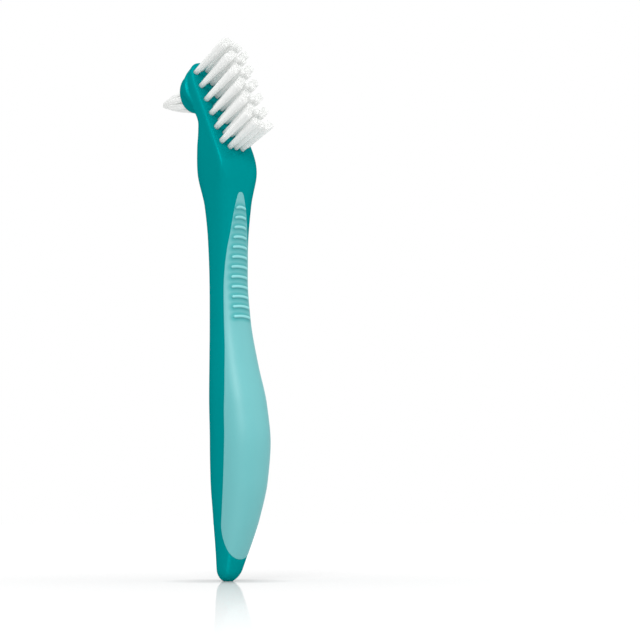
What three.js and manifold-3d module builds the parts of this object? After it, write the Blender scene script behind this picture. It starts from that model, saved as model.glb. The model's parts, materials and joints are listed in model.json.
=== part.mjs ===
// Two-sided pet toothbrush: a one-piece rigid handle, neck and head, a soft ribbed thumb grip
// let into the front of the handle, a flat field of bristle tufts on the front of the head and a
// pointed brush of tufts on the boss behind it.
//
// Millimetres, Z up. The origin is the middle of the small flat foot at the end of the handle.
// X runs across the brush, the bristle side faces -Y.
import * as THREE from 'three';
import { mergeVertices } from 'three/addons/utils/BufferGeometryUtils.js';
import Module from 'manifold-3d';

// ---------------------------------------------------------------- driving dimensions

// The rigid moulding, from the foot to the top of the head.
const BODY_LENGTH = 173.4;
const BODY_WIDTH = 17.2; // across the belly of the handle
const BELLY_FRONT = 15.4; // how far the belly stands out in front of the foot's centre line
const BOSS_BACK = 20.2; // how far the boss on the head's back stands out behind it

// The moulding is a stack of level sections. Each one gives its height, its width, how far its
// front and its back stand from the foot's centre line, as shares of the four sizes above, and
// how boxy its front and back corners are (2 is an ellipse, 6 is nearly a box).
const SECTIONS = [
  { name: 'foot', up: 0, width: 0.395, front: 0.195, back: 0.149, boxyFront: 2.3, boxyBack: 2.3 },
  { name: 'toe', up: 0.0461, width: 0.57, front: 0.416, back: 0.149, boxyFront: 2.3, boxyBack: 2.3 },
  { name: 'heel of palm', up: 0.1153, width: 0.791, front: 0.74, back: 0.178, boxyFront: 2.3, boxyBack: 2.3 },
  { name: 'lower belly', up: 0.1845, width: 0.93, front: 0.942, back: 0.213, boxyFront: 2.4, boxyBack: 2.4 },
  { name: 'belly', up: 0.2537, width: 1, front: 1, back: 0.218, boxyFront: 2.4, boxyBack: 2.4 },
  { name: 'upper belly', up: 0.323, width: 0.977, front: 0.89, back: 0.243, boxyFront: 2.4, boxyBack: 2.4 },
  { name: 'flank', up: 0.4037, width: 0.86, front: 0.623, back: 0.267, boxyFront: 2.4, boxyBack: 2.4 },
  { name: 'lower waist', up: 0.4844, width: 0.744, front: 0.409, back: 0.287, boxyFront: 2.5, boxyBack: 2.5 },
  { name: 'waist', up: 0.5652, width: 0.698, front: 0.312, back: 0.307, boxyFront: 2.6, boxyBack: 2.6 },
  { name: 'thumb rest', up: 0.6344, width: 0.721, front: 0.305, back: 0.332, boxyFront: 2.8, boxyBack: 2.8 },
  { name: 'neck', up: 0.7036, width: 0.814, front: 0.325, back: 0.386, boxyFront: 3.4, boxyBack: 3 },
  { name: 'shoulder', up: 0.7728, width: 0.953, front: 0.37, back: 0.53, boxyFront: 5, boxyBack: 4 },
  { name: 'head root', up: 0.8189, width: 0.988, front: 0.39, back: 0.48, boxyFront: 6, boxyBack: 4.6 },
  { name: 'head back', up: 0.8651, width: 0.977, front: 0.39, back: 0.431, boxyFront: 6, boxyBack: 3.6 },
  { name: 'under boss', up: 0.9, width: 0.965, front: 0.39, back: 0.584, boxyFront: 6, boxyBack: 3.6 },
  { name: 'boss level', up: 0.9418, width: 0.955, front: 0.39, back: 0.792, boxyFront: 6, boxyBack: 4 },
  { name: 'over boss', up: 0.9689, width: 0.86, front: 0.39, back: 0.787, boxyFront: 5.5, boxyBack: 2.8 },
  { name: 'crown', up: 0.989, width: 0.605, front: 0.39, back: 0.757, boxyFront: 4, boxyBack: 2.2 },
  { name: 'top', up: 1, width: 0.302, front: 0.39, back: 0.762, boxyFront: 2.6, boxyBack: 2.2 },
];
const TOE_ROUND_HEIGHT = 3.6; // the end of the handle rounds off over this height
const FOOT_FLAT_SHARE = 0.5; // of the section's size that is left as the flat foot

// The bristle face leans back from the shoulder. It is set out from its own top row line.
const FACE_TILT = THREE.MathUtils.degToRad(27.5);
const FACE_TOP_BACK = 14.24; // how far behind the foot's centre line the face's datum lies
const FACE_DATUM_ABOVE_TOP = 0.56; // the datum lies just above the top of the head
const SHOULDER_ROUND = 1.1; // softness of the turn from the neck into the face
const HEAD_PLATE_THICKNESS = 4; // from the face to the widest line of the head

// The round boss on the back of the head. Its axis runs along Y and its rim is rounded.
const BOSS_RADIUS = 7.3;
const BOSS_BELOW_TOP = 10.2; // its axis, below the top of the head
const BOSS_BOXINESS = 4.5; // 2 is a ball, 10 a sharp-edged disc
const BOSS_SUNK = 1; // how far it runs on into the head plate, in front of the widest line

// Front tufts.
const OUTER_ROWS = 6;
const INNER_ROWS = 7;
const COLUMNS = 5;
const COLUMN_PITCH = 2.74;
const ROW_PITCH = 5.8;
const INNER_FIRST_ROW = 0.68; // rows of the inner columns start this many pitches below the datum
const TUFT_BASE_DIAMETER = 1.75;
const TUFT_TIP_DIAMETER = 2.6;
const TUFT_LENGTH = 15.05; // of the middle column at the top row, above the face
const TRIM_SLOPE_ACROSS = 0.27; // the trimmed ends fall away across the head
const TRIM_SLOPE_DOWN = 0.04; // and a little towards the handle
const FAN_ANGLE = THREE.MathUtils.degToRad(0.65); // lean outwards for each column off the middle
const DROOP_ANGLE = THREE.MathUtils.degToRad(1.5); // lean of every tuft towards the handle

// Rear tufts: one in the middle and a ring round it that leans in to a point.
const REAR_RING_COUNT = 8;
const REAR_RING_RADIUS = 3.7;
const REAR_TIP_RING_RADIUS = 1.05;
const REAR_BELOW_BOSS_AXIS = 1.4;
const REAR_TUFT_LENGTH = 14.7;
const REAR_TUFT_TIP_DIAMETER = 0.5;
const REAR_LIFT_ANGLE = THREE.MathUtils.degToRad(3);

// Blind holes that hold the tufts.
const HOLE_DEPTH = 2;
const HOLE_CLEARANCE = 0.12; // around a tuft
const HOLE_FLOOR_GAP = 0.15; // under a tuft
const TUFT_SIDES = 8;

// Soft grip: a patch let flush into the front of the handle.
const GRIP_THICKNESS = 1.6;
const GRIP_GAP = 0.3;
const POCKET_OVERCUT = 1.5; // how far the pocket's cutter stands out of the surface
const GRIP_BOTTOM = 7;
const GRIP_TOP_BELOW_SHOULDER = 9.4; // the shoulder is where the neck turns into the face
const GRIP_BOTTOM_ROUND = 11;
const GRIP_TOP_ROUND = 1.3;
const GRIP_LAND_ANGLE = THREE.MathUtils.degToRad(1.5); // least half angle, at its two ends
// Its edge, as the angle round the section from dead front, at shares of the grip's length.
const GRIP_EDGE = [
  { up: 0.092, angle: 88 },
  { up: 0.26, angle: 83 },
  { up: 0.377, angle: 80 },
  { up: 0.477, angle: 72 },
  { up: 0.578, angle: 63 },
  { up: 0.729, angle: 57.5 },
  { up: 0.787, angle: 52 },
  { up: 0.838, angle: 42 },
  { up: 0.884, angle: 28.5 },
  { up: 0.921, angle: 19 },
  { up: 0.963, angle: 8.5 },
  { up: 0.985, angle: 4 },
  { up: 1, angle: 2 },
];

// Ribs across the narrow upper part of the grip.
const RIB_COUNT = 12;
const RIB_PITCH = 3.28;
const RIB_TOP_BELOW_GRIP_TOP = 5.2;
const RIB_WIDTH = 1.1;
const RIB_HEIGHT = 0.6;
const RIB_HALF_LENGTH_TOP = 1.75;
const RIB_HALF_LENGTH_LOW = 3.25;
const RIB_ROWS_TO_FULL_LENGTH = 6;
const RIB_CREST_SHARE = 0.78; // of a rib's length that stands at full height
const RIB_LARGEST_SHARE = 0.8; // of the grip's width that a rib may take
const RIB_PROFILE = [
  { offset: -0.5, isCrest: false },
  { offset: -0.22, isCrest: true },
  { offset: 0.22, isCrest: true },
  { offset: 0.5, isCrest: false },
];

const POCKET_PROFILE = [{ offset: 0, isCrest: false }]; // the pocket runs smooth under the ribs

// Fineness of the faceted solids.
const BODY_SIDES = 32;
const BODY_ROW_STEP = 5;
const HEAD_ROW_STEP = 2.6;
const BOSS_SIDES = 28;
const BOSS_SLICES = 13; // an odd number, so that one lies on the boss's axis
const BOSS_LAST_SLICE = THREE.MathUtils.degToRad(82); // up or down its rim from the axis
const TOE_RING_SHARES = [0, 0.12, 0.28, 0.5, 0.75, 1];
const GRIP_PLAIN_ROWS = 16;
const GRIP_SIDE_COLUMNS = 3;
const GRIP_BOTTOM_CROWDING = 2; // how the rows close up towards the round lower end
const GRIP_TIP_SHARES = [0.4, 0.65, 0.8, 0.9, 0.97, 1];
const MERGE_DISTANCE = 1e-4;

// ---------------------------------------------------------------- the body's surface

/** The sections at their real size. */
const BODY = SECTIONS.map((section) => ({
  name: section.name,
  height: section.up * BODY_LENGTH,
  width: section.width * BODY_WIDTH,
  front: section.front * BELLY_FRONT,
  back: section.back * BOSS_BACK,
  boxyFront: section.boxyFront,
  boxyBack: section.boxyBack,
}));

/** The height of a named section. */
function heightOf(name) {
  return BODY.find((section) => section.name === name).height;
}

/** Slope at each entry of a smooth curve that never overshoots its points. */
function slopesOf(points, key) {
  const steps = points.slice(1).map((point, i) => {
    return (point[key] - points[i][key]) / (point.height - points[i].height);
  });
  return points.map((point, i) => {
    if (i === 0) return steps[0];
    if (i === steps.length) return steps[i - 1];
    const product = steps[i - 1] * steps[i];
    return product <= 0 ? 0 : (2 * product) / (steps[i - 1] + steps[i]);
  });
}

/** A function of height that runs smoothly through one value of each entry. */
function curveThrough(points, key) {
  const slopes = slopesOf(points, key);
  return (height) => {
    let i = 0;
    while (i < points.length - 2 && height > points[i + 1].height) i += 1;
    const span = points[i + 1].height - points[i].height;
    const t = THREE.MathUtils.clamp((height - points[i].height) / span, 0, 1);
    const bend = t * t * (3 - 2 * t);
    const start = t * (1 - t) * (1 - t) * span * slopes[i];
    const end = t * t * (t - 1) * span * slopes[i + 1];
    return points[i][key] * (1 - bend) + points[i + 1][key] * bend + start + end;
  };
}

const widthAt = curveThrough(BODY, 'width');
const frontAt = curveThrough(BODY, 'front');
const backAt = curveThrough(BODY, 'back');
const boxyFrontAt = curveThrough(BODY, 'boxyFront');
const boxyBackAt = curveThrough(BODY, 'boxyBack');

const FACE_DATUM_HEIGHT = BODY_LENGTH + FACE_DATUM_ABOVE_TOP;

/** Y of the leaning bristle face at a height. */
function faceY(height) {
  return FACE_TOP_BACK - (FACE_DATUM_HEIGHT - height) * Math.tan(FACE_TILT);
}

/** Height at which the neck turns into the face. */
function shoulderTurn() {
  const front = frontAt(heightOf('shoulder'));
  return FACE_DATUM_HEIGHT - (FACE_TOP_BACK + front) / Math.tan(FACE_TILT);
}

/** Sizes of the level section at a height: half width, front, back and the widest line. */
function sectionAt(height) {
  const overlap = faceY(height) + frontAt(height);
  const front = -frontAt(height) + SHOULDER_ROUND * Math.log1p(Math.exp(overlap / SHOULDER_ROUND));
  const back = backAt(height);
  const head = THREE.MathUtils.smoothstep(height, heightOf('neck'), heightOf('shoulder'));
  const middle = (front + back) / 2;
  const plate = front + Math.min((back - front) / 2, HEAD_PLATE_THICKNESS);
  const toe = 1 - Math.min(height / TOE_ROUND_HEIGHT, 1);
  return {
    half: widthAt(height) / 2,
    front,
    back,
    widest: THREE.MathUtils.lerp(middle, plate, head),
    boxyFront: boxyFrontAt(height),
    boxyBack: boxyBackAt(height),
    shrink: Math.sqrt(1 - (1 - FOOT_FLAT_SHARE ** 2) * toe * toe),
  };
}

/** A point of the body's surface, or of a surface lying inside it by the inset. */
function bodyPoint(height, angle, inset = 0) {
  const section = sectionAt(height);
  const sine = Math.sin(angle);
  const cosine = Math.cos(angle);
  const facesFront = cosine > 0;
  const power = 2 / (facesFront ? section.boxyFront : section.boxyBack);
  const reach = facesFront ? section.widest - section.front : section.back - section.widest;
  const across = (section.half * section.shrink - inset) * Math.sign(sine) * Math.abs(sine) ** power;
  const along = (reach * section.shrink - inset) * Math.abs(cosine) ** power;
  return new THREE.Vector3(across, section.widest + (facesFront ? -along : along), height);
}

const BOSS_HEIGHT = BODY_LENGTH - BOSS_BELOW_TOP;

/** A point of the boss: lift goes up its round rim from the level of its axis, angle goes round a slice. */
function bossPoint(lift, angle) {
  const off = Math.sin(lift);
  const height = BOSS_HEIGHT + BOSS_RADIUS * off;
  const { widest } = sectionAt(height);
  const sine = Math.sin(angle);
  const cosine = Math.cos(angle);
  const power = 2 / BOSS_BOXINESS;
  const rim = (1 - Math.abs(off) ** BOSS_BOXINESS) ** (1 / BOSS_BOXINESS);
  const reach = cosine > 0 ? -BOSS_SUNK : (BOSS_BACK - widest) * rim;
  const across = BOSS_RADIUS * Math.cos(lift) * Math.sign(sine) * Math.abs(sine) ** power;
  return new THREE.Vector3(across, widest + reach * Math.abs(cosine) ** power, height);
}

// ---------------------------------------------------------------- mesh and boolean helpers

const manifold = await Module();
manifold.setup();

/** A solid for joining and cutting, from a closed geometry. */
function solidFrom(geometry) {
  const plain = geometry.clone();
  plain.deleteAttribute('normal');
  plain.deleteAttribute('uv');
  const merged = mergeVertices(plain, MERGE_DISTANCE);
  const corners = merged.index.array;
  const triangles = [];
  for (let i = 0; i < corners.length; i += 3) {
    const [a, b, c] = corners.slice(i, i + 3);
    if (a !== b && b !== c && c !== a) triangles.push(a, b, c);
  }
  return new manifold.Manifold(new manifold.Mesh({
    numProp: 3,
    vertProperties: new Float32Array(merged.attributes.position.array),
    triVerts: new Uint32Array(triangles),
  }));
}

/** A three.js geometry from a joined or cut solid. */
function geometryFrom(solid) {
  const mesh = solid.getMesh();
  const geometry = new THREE.BufferGeometry();
  geometry.setAttribute('position', new THREE.BufferAttribute(mesh.vertProperties, mesh.numProp));
  geometry.setIndex(new THREE.BufferAttribute(mesh.triVerts, 1));
  geometry.computeVertexNormals();
  return geometry;
}

/** A closed geometry from a list of points and triangles. */
function geometryOf(points, triangles) {
  const geometry = new THREE.BufferGeometry().setFromPoints(points);
  geometry.setIndex(triangles);
  geometry.computeVertexNormals();
  return geometry;
}

/** Two triangles for the quad a, b, c, d. */
function quad(a, b, c, d) {
  return [a, b, c, a, c, d];
}

/** A closed tube of rings, each a list of points going round, with a fan at each end. */
function closedTube(rings) {
  const sides = rings[0].length;
  const points = rings.flat();
  const triangles = [];
  for (let row = 0; row < rings.length - 1; row += 1) {
    for (let side = 0; side < sides; side += 1) {
      const next = (side + 1) % sides;
      const low = row * sides;
      const high = low + sides;
      triangles.push(...quad(low + side, low + next, high + next, high + side));
    }
  }
  [0, rings.length - 1].forEach((row) => {
    const centre = new THREE.Vector3();
    rings[row].forEach((point) => centre.addScaledVector(point, 1 / sides));
    const hub = points.push(centre) - 1;
    for (let side = 0; side < sides; side += 1) {
      const here = row * sides + side;
      const next = row * sides + ((side + 1) % sides);
      triangles.push(...(row === 0 ? [hub, next, here] : [hub, here, next]));
    }
  });
  return geometryOf(points, triangles);
}

/** A closed sheet between an outer and an inner grid of points of the same size. */
function closedSheet(outer, inner) {
  const rows = outer.length;
  const columns = outer[0].length;
  const points = [...outer.flat(), ...inner.flat()];
  const depth = rows * columns;
  const triangles = [];
  for (let row = 0; row < rows - 1; row += 1) {
    for (let column = 0; column < columns - 1; column += 1) {
      const a = row * columns + column;
      const b = a + 1;
      const c = b + columns;
      const d = a + columns;
      triangles.push(...quad(a, b, c, d), ...quad(a + depth, d + depth, c + depth, b + depth));
    }
  }
  const rim = [];
  for (let column = 0; column < columns - 1; column += 1) rim.push(column);
  for (let row = 0; row < rows - 1; row += 1) rim.push(row * columns + columns - 1);
  for (let column = columns - 1; column > 0; column -= 1) rim.push((rows - 1) * columns + column);
  for (let row = rows - 1; row > 0; row -= 1) rim.push(row * columns);
  rim.forEach((here, i) => {
    const next = rim[(i + 1) % rim.length];
    triangles.push(...quad(here, here + depth, next + depth, next));
  });
  return geometryOf(points, triangles);
}

// ---------------------------------------------------------------- tuft layout

const FACE_OUT = new THREE.Vector3(0, -Math.cos(FACE_TILT), Math.sin(FACE_TILT));
const FACE_DOWN = new THREE.Vector3(0, -Math.sin(FACE_TILT), -Math.cos(FACE_TILT));
const FACE_DATUM = new THREE.Vector3(0, FACE_TOP_BACK, FACE_DATUM_HEIGHT);

/** Root, direction and length of each front tuft, column by column. */
function frontTufts() {
  const tufts = [];
  for (let column = 0; column < COLUMNS; column += 1) {
    const off = column - (COLUMNS - 1) / 2;
    const isOuter = column === 0 || column === COLUMNS - 1;
    const rows = isOuter ? OUTER_ROWS : INNER_ROWS;
    const first = isOuter ? 1 : INNER_FIRST_ROW;
    const last = OUTER_ROWS + 1 - first;
    for (let row = 0; row < rows; row += 1) {
      const down = (first + ((last - first) * row) / (rows - 1)) * ROW_PITCH;
      const across = off * COLUMN_PITCH;
      const root = FACE_DATUM.clone().addScaledVector(FACE_DOWN, down);
      root.x = across;
      const direction = FACE_OUT.clone()
        .addScaledVector(FACE_DOWN, Math.tan(DROOP_ANGLE))
        .add(new THREE.Vector3(Math.tan(off * FAN_ANGLE), 0, 0))
        .normalize();
      const length = TUFT_LENGTH - TRIM_SLOPE_ACROSS * across - TRIM_SLOPE_DOWN * (down - ROW_PITCH);
      const name = `front_tuft_${column + 1}_${row + 1}`;
      tufts.push({ name, root, direction, length, tip: TUFT_TIP_DIAMETER });
    }
  }
  return tufts;
}

/** Root, direction and length of each rear tuft. */
function rearTufts() {
  const centre = new THREE.Vector3(0, BOSS_BACK, BOSS_HEIGHT - REAR_BELOW_BOSS_AXIS);
  const axis = new THREE.Vector3(0, Math.cos(REAR_LIFT_ANGLE), Math.sin(REAR_LIFT_ANGLE));
  const point = centre.clone().addScaledVector(axis, REAR_TUFT_LENGTH);
  const tufts = [{
    name: 'rear_tuft_centre',
    root: centre,
    direction: axis,
    length: REAR_TUFT_LENGTH,
    tip: REAR_TUFT_TIP_DIAMETER,
  }];
  for (let i = 0; i < REAR_RING_COUNT; i += 1) {
    const turn = (i * 2 * Math.PI) / REAR_RING_COUNT;
    const outwards = new THREE.Vector3(Math.cos(turn), 0, Math.sin(turn));
    const root = centre.clone().addScaledVector(outwards, REAR_RING_RADIUS);
    const tip = point.clone().addScaledVector(outwards, REAR_TIP_RING_RADIUS);
    const path = tip.sub(root);
    tufts.push({
      name: `rear_tuft_${i + 1}`,
      root,
      direction: path.clone().normalize(),
      length: path.length(),
      tip: REAR_TUFT_TIP_DIAMETER,
    });
  }
  return tufts;
}

/** A turned solid round a tuft's axis, from radii and their distances from the tuft's root. */
function turnedAlong(tuft, profile) {
  const outline = profile.map(([radius, distance]) => new THREE.Vector2(radius, distance));
  const geometry = new THREE.LatheGeometry(outline, TUFT_SIDES);
  const turn = new THREE.Quaternion().setFromUnitVectors(new THREE.Vector3(0, 1, 0), tuft.direction);
  geometry.applyQuaternion(turn);
  geometry.translate(tuft.root.x, tuft.root.y, tuft.root.z);
  return geometry;
}

/** The solid of one tuft: a straight root in its hole and a flaring bundle above it. */
function tuftGeometry(tuft) {
  const radius = TUFT_BASE_DIAMETER / 2;
  const rootDepth = HOLE_DEPTH - HOLE_FLOOR_GAP;
  return turnedAlong(tuft, [
    [0, -rootDepth],
    [radius, -rootDepth],
    [radius, 0],
    [tuft.tip / 2, tuft.length],
    [0, tuft.length],
  ]);
}

/** The blind hole for one tuft, running on past the surface so that it cuts clean. */
function holeGeometry(tuft) {
  const radius = TUFT_BASE_DIAMETER / 2 + HOLE_CLEARANCE;
  return turnedAlong(tuft, [
    [0, -HOLE_DEPTH],
    [radius, -HOLE_DEPTH],
    [radius, HOLE_DEPTH],
    [0, HOLE_DEPTH],
  ]);
}

// ---------------------------------------------------------------- grip

const GRIP_TOP = shoulderTurn() - GRIP_TOP_BELOW_SHOULDER;
const GRIP_EDGE_POINTS = GRIP_EDGE.map(({ up, angle }) => {
  return { height: THREE.MathUtils.lerp(GRIP_BOTTOM, GRIP_TOP, up), angle };
});
const edgeAngleAt = curveThrough(GRIP_EDGE_POINTS, 'angle');

/** Half angle of the grip's edge at a height, rounded off at both ends, widened by a gap. */
function gripHalfAngle(height, gap) {
  const intoBottom = (GRIP_BOTTOM + GRIP_BOTTOM_ROUND - height) / (GRIP_BOTTOM_ROUND + gap);
  const intoTop = (height - GRIP_TOP + GRIP_TOP_ROUND) / (GRIP_TOP_ROUND + gap);
  const round = [intoBottom, intoTop].reduce((product, into) => {
    return product * Math.sqrt(1 - THREE.MathUtils.clamp(into, 0, 1) ** 2);
  }, 1);
  const edge = Math.max(THREE.MathUtils.degToRad(edgeAngleAt(height)) * round, GRIP_LAND_ANGLE);
  return edge + gap / sectionAt(height).half;
}

/** Height of the middle of a rib, counted down from the top one. */
function ribHeight(index) {
  return GRIP_TOP - RIB_TOP_BELOW_GRIP_TOP - index * RIB_PITCH;
}

/** Half angle that a rib spans at a height: short at the top, full length lower down. */
function ribHalfAngle(height) {
  const index = (ribHeight(0) - height) / RIB_PITCH;
  const growth = THREE.MathUtils.clamp(index / RIB_ROWS_TO_FULL_LENGTH, 0, 1);
  const length = THREE.MathUtils.lerp(RIB_HALF_LENGTH_TOP, RIB_HALF_LENGTH_LOW, growth);
  const section = sectionAt(height);
  return Math.asin((length / section.half) ** (section.boxyFront / 2));
}

/** Heights of the rows of the grip or of its pocket, and whether each runs over a rib's crest. */
function gripRows(bottom, top, profile) {
  const rows = [];
  for (let index = RIB_COUNT - 1; index >= 0; index -= 1) {
    profile.forEach(({ offset, isCrest }) => {
      rows.push({ height: ribHeight(index) + offset * RIB_WIDTH, isCrest });
    });
  }
  const plainTop = rows[0].height;
  for (let i = GRIP_PLAIN_ROWS - 1; i >= 0; i -= 1) {
    const share = (i / GRIP_PLAIN_ROWS) ** GRIP_BOTTOM_CROWDING;
    rows.unshift({ height: THREE.MathUtils.lerp(bottom, plainTop, share), isCrest: false });
  }
  const ribbedTop = rows.at(-1).height;
  GRIP_TIP_SHARES.forEach((share) => {
    rows.push({ height: THREE.MathUtils.lerp(ribbedTop, top, share), isCrest: false });
  });
  return rows;
}

/** Angles of the columns of a grip row: rib crest in the middle, rib ends, then out to the edge. */
function columnAngles(height, gap) {
  const edge = gripHalfAngle(height, gap);
  const rib = Math.min(ribHalfAngle(height), edge * RIB_LARGEST_SHARE);
  const side = [rib * RIB_CREST_SHARE, rib];
  for (let i = 1; i <= GRIP_SIDE_COLUMNS; i += 1) {
    side.push(THREE.MathUtils.lerp(rib, edge, i / GRIP_SIDE_COLUMNS));
  }
  return [...side.map((angle) => -angle).reverse(), 0, ...side];
}

/** A sheet let into the body's front: the ribbed grip itself, or widened by a gap its pocket. */
function gripSheet({ rows, gap, outerInset, innerInset }) {
  const outer = [];
  const inner = [];
  rows.forEach(({ height, isCrest }) => {
    const angles = columnAngles(height, gap);
    const crestStart = GRIP_SIDE_COLUMNS + 1;
    outer.push(angles.map((angle, i) => {
      const isOnCrest = isCrest && i >= crestStart && i < angles.length - crestStart;
      return bodyPoint(height, angle, isOnCrest ? outerInset - RIB_HEIGHT : outerInset);
    }));
    inner.push(angles.map((angle) => bodyPoint(height, angle, innerInset)));
  });
  return closedSheet(outer, inner);
}

// ---------------------------------------------------------------- the moulded body

/** Heights of the body's rings: close together in the toe and the head, wider in the handle. */
function ringHeights() {
  const heights = TOE_RING_SHARES.map((share) => share * TOE_ROUND_HEIGHT);
  const spans = [
    [TOE_ROUND_HEIGHT, heightOf('neck'), BODY_ROW_STEP],
    [heightOf('neck'), BODY_LENGTH, HEAD_ROW_STEP],
  ];
  spans.forEach(([low, high, step]) => {
    const count = Math.ceil((high - low) / step);
    for (let i = 1; i <= count; i += 1) heights.push(low + ((high - low) * i) / count);
  });
  return heights;
}

/** Angles of a number of sides, going round from dead front. */
function anglesRound(sides) {
  return Array.from({ length: sides }, (_, i) => (i * 2 * Math.PI) / sides);
}

/** The round boss, in level slices. */
function bossSolid() {
  const rings = Array.from({ length: BOSS_SLICES }, (_, i) => {
    const lift = BOSS_LAST_SLICE * ((2 * i) / (BOSS_SLICES - 1) - 1);
    return anglesRound(BOSS_SIDES).map((angle) => bossPoint(lift, angle));
  });
  return solidFrom(closedTube(rings));
}

/** The body before the pocket and the holes are cut. */
function plainBody() {
  const rings = ringHeights().map((height) => {
    return anglesRound(BODY_SIDES).map((angle) => bodyPoint(height, angle));
  });
  return solidFrom(closedTube(rings)).add(bossSolid());
}

// ---------------------------------------------------------------- materials and assembly

const tealPlastic = new THREE.MeshStandardMaterial({ color: 0x008a8c, roughness: 0.25, metalness: 0 });
const aquaRubber = new THREE.MeshStandardMaterial({ color: 0x86c8cc, roughness: 0.55, metalness: 0 });
const whiteNylon = new THREE.MeshStandardMaterial({ color: 0xf4f5f3, roughness: 0.45, metalness: 0 });

/** A named mesh. */
function named(name, geometry, material) {
  const mesh = new THREE.Mesh(geometry, material.clone());
  mesh.name = name;
  return mesh;
}

const tufts = [...frontTufts(), ...rearTufts()];
const grip = gripSheet({
  rows: gripRows(GRIP_BOTTOM, GRIP_TOP, RIB_PROFILE),
  gap: 0,
  outerInset: 0,
  innerInset: GRIP_THICKNESS,
});
const pocket = gripSheet({
  rows: gripRows(GRIP_BOTTOM - GRIP_GAP, GRIP_TOP + GRIP_GAP, POCKET_PROFILE),
  gap: GRIP_GAP,
  outerInset: -POCKET_OVERCUT,
  innerInset: GRIP_THICKNESS + GRIP_GAP,
});
const cutters = [pocket, ...tufts.map(holeGeometry)].map(solidFrom);
const body = cutters.reduce((solid, cutter) => solid.subtract(cutter), plainBody());

const toothbrush = new THREE.Group();
toothbrush.add(named('handle_body', geometryFrom(body), tealPlastic));
toothbrush.add(named('front_grip', grip, aquaRubber));
tufts.forEach((tuft) => toothbrush.add(named(tuft.name, tuftGeometry(tuft), whiteNylon)));

export default toothbrush;
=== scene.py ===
"""Two-sided pet toothbrush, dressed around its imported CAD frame.

The rigid moulding and the soft grip are surfaces worked out on fine grids, every tuft is a bundle
of separate filaments, and a plain white studio stands round them. All sizes are in metres. The
brush stands on the foot of its handle at the origin, X runs across it, the bristle side faces -Y.
"""

from __future__ import annotations

import json
import logging
import math
from dataclasses import dataclass, field
from enum import Enum
from typing import Any, Sequence

import bpy
import numpy as np
from mathutils import Euler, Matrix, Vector

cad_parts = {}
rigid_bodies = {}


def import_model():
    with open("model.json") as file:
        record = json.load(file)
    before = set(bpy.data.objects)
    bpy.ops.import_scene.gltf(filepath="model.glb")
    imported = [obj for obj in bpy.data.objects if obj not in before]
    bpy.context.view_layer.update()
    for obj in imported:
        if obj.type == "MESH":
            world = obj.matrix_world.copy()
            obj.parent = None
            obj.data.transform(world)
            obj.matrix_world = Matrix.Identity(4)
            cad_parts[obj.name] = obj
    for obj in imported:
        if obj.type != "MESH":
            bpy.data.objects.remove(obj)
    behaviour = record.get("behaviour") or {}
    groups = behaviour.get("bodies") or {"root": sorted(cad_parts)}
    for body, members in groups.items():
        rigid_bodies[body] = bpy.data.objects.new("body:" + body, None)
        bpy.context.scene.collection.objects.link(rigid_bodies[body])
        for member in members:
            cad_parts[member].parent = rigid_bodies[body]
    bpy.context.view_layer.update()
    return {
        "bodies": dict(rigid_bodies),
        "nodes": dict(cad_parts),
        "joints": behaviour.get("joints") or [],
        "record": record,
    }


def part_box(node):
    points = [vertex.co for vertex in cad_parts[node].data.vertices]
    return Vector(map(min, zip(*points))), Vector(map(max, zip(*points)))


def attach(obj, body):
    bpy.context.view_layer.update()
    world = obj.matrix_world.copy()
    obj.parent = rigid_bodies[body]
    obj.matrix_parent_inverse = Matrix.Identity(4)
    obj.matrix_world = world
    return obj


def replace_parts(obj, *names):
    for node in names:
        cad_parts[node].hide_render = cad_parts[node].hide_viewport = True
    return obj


logging.basicConfig(level=logging.INFO, format="%(message)s")
log = logging.getLogger("toothbrush")

Array = np.ndarray
Colour = tuple[float, float, float, float]
Triple = tuple[float, float, float]
Piece = bpy.types.Object
Socket = bpy.types.NodeSocket

MM = 0.001
BODY_NAME = "root"

FULL_TURN = 2.0 * math.pi
QUARTER_TURN = math.pi / 2.0
GOLDEN_ANGLE = math.pi * (3.0 - math.sqrt(5.0))

# A length and an angle that keep divisions away from zero.
TINY = 1e-9
LEAST_ANGLE = 1e-4

WHITE: Colour = (1.0, 1.0, 1.0, 1.0)
NOISE_ROUGHNESS = 0.55
BROAD_OCTAVES = 3.0
FINE_OCTAVES = 2.0

# Point attributes that the builders write and the finishes read.
TONE = "tone"
# Painted highlight on the grip's rib crests and painted shade in the troughs beside them.
PAINTED_RIB_LIGHT = "relief"

# A CAD solid's equal points are merged to this many decimals, and those within the depth of its
# end belong to its end face.
MERGE_DECIMALS = 7
END_FACE_DEPTH = 0.05 * MM


class Slot(Enum):
    """The record's material slots."""

    BODY = "body_plastic"
    GRIP = "grip_rubber"
    BRISTLE = "bristle"
    ANCHOR = "anchor_metal"


# ------------------------------------------------------------------ numbers


def smooth_step(low: float, high: float, value: Array) -> Array:
    """Rises from 0 to 1 between low and high along 3t^2 - 2t^3."""
    t = np.clip((value - low) / (high - low), 0.0, 1.0)
    return t * t * (3.0 - 2.0 * t)


def ray_length(across: Array, along: Array, power: Array | float) -> Array:
    """Times that (x, y) has to be stretched to lie on |x|^n + |y|^n = 1: (|x|^n + |y|^n)^(-1/n)."""
    return (np.abs(across) ** power + np.abs(along) ** power) ** (-1.0 / power)


def unit_circle(sides: int) -> Array:
    """Evenly spaced points of the unit circle, one row each."""
    turn = np.arange(sides) * FULL_TURN / sides
    return np.stack([np.cos(turn), np.sin(turn)], axis=-1)


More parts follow.
